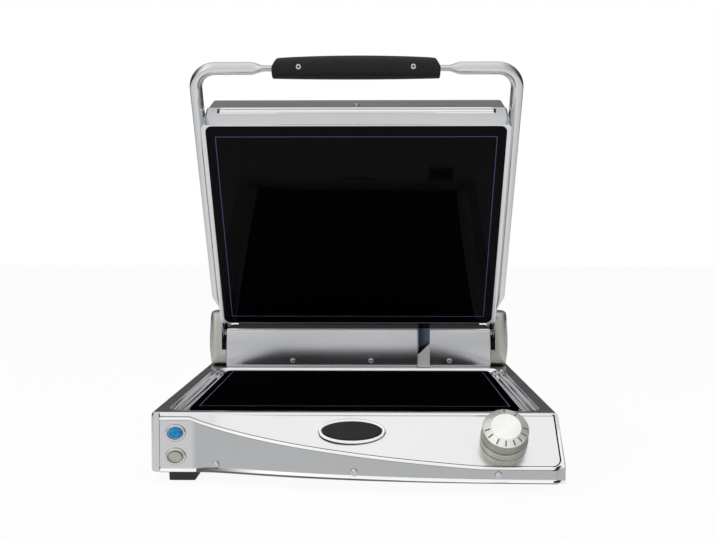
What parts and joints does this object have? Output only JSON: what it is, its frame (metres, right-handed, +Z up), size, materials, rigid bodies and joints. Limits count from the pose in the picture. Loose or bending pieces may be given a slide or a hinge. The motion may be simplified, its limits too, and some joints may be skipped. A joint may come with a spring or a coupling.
{
  "type": "contact grill",
  "caption": "Countertop contact grill with an opened hinged lid, black glass plates above and below, steel body with a sloping control panel, a dial, push buttons and a black handle.",
  "frame": {"origin": "on the surface the feet stand on, under the middle of the outer box with the lid open", "axes": "+X to the right as seen from the front, +Y to the back, +Z up"},
  "size_m": [0.4004, 0.4816, 0.4448],
  "materials": {
    "shell": "satin",
    "cover": "satin",
    "panel": "polished",
    "tray": "polished",
    "arms": "polished",
    "bezels": "polished",
    "screws": "satin",
    "steel": "satin",
    "cast": "satin",
    "grip": "matte",
    "black_plastic": "matte",
    "feet": "matte",
    "gaskets": "matte",
    "lens": "gloss",
    "glass": "gloss",
    "ceramic": "matte"
  },
  "bodies": {
    "base": {"base_shell": "shell", "bottom_plate": "steel", "front_cover": "cover", "control_panel": "panel", "gutter_tray": "tray", "foot_front_left": "feet", "foot_front_right": "feet", "foot_rear_left": "feet", "foot_rear_right": "feet", "front_screw_1": "screws", "front_screw_2": "screws", "front_screw_3": "screws", "cable_gland": "black_plastic", "terminal_block": "ceramic", "lower_glass": "glass", "lower_gasket": "gaskets", "lower_heater_pan": "steel", "lower_insulation": "ceramic", "lower_element": "steel", "power_bezel": "bezels", "timer_bezel": "bezels", "dial_ring": "cast", "thermostat": "ceramic", "badge_ring": "bezels", "badge_plate": "black_plastic", "hinge_cover": "tray", "cover_screw_1": "screws", "cover_screw_2": "screws", "cover_screw_3": "screws", "hinge_pod_left": "cast", "hinge_pod_right": "cast", "lift_spring_left": "steel", "lift_spring_right": "steel", "lead_guard": "tray"},
    "arms": {"hinge_shaft": "steel", "arm_left": "arms", "arm_right": "arms", "grip": "grip", "grip_screw_left": "screws", "grip_screw_right": "screws"},
    "lid": {"lid_frame": "cover", "lid_hood": "shell", "upper_glass": "glass", "upper_gasket": "gaskets", "upper_heater_pan": "steel", "upper_insulation": "ceramic", "upper_element": "steel", "lid_screw": "screws", "pivot_pin_left": "steel", "pivot_pin_right": "steel"},
    "knob": {"dial": "cast", "dial_shaft": "steel"},
    "power_key": {"power_button": "lens"},
    "timer_key": {"timer_button": "cast"}
  },
  "joints": [
    {"name": "arm_swing", "type": "hinge", "parent": "base", "child": "arms", "pos_m": [0, 0.15408, 0.1139], "axis": [1, 0, 0], "range_deg": [0, 58.65], "deforming": ["lift_spring_left", "lift_spring_right"]},
    {"name": "lid_level", "type": "hinge", "parent": "arms", "child": "lid", "pos_m": [0, 0.06548, 0.25934], "axis": [-1, 0, 0], "range_deg": [-15, 0]},
    {"name": "dial_turn", "type": "hinge", "parent": "base", "child": "knob", "pos_m": [0.14455, -0.22497, 0.06224], "axis": [0, 0.7049, -0.7093], "range_deg": [0, 300]},
    {"name": "power_press", "type": "slide", "parent": "base", "child": "power_key", "axis": [0, 1, 0], "range_m": [0, 0.0024], "stiffness_N_per_m": 400, "springref_m": -0.003},
    {"name": "timer_press", "type": "slide", "parent": "base", "child": "timer_key", "axis": [0, 1, 0], "range_m": [0, 0.0024], "stiffness_N_per_m": 400, "springref_m": -0.003}
  ]
}
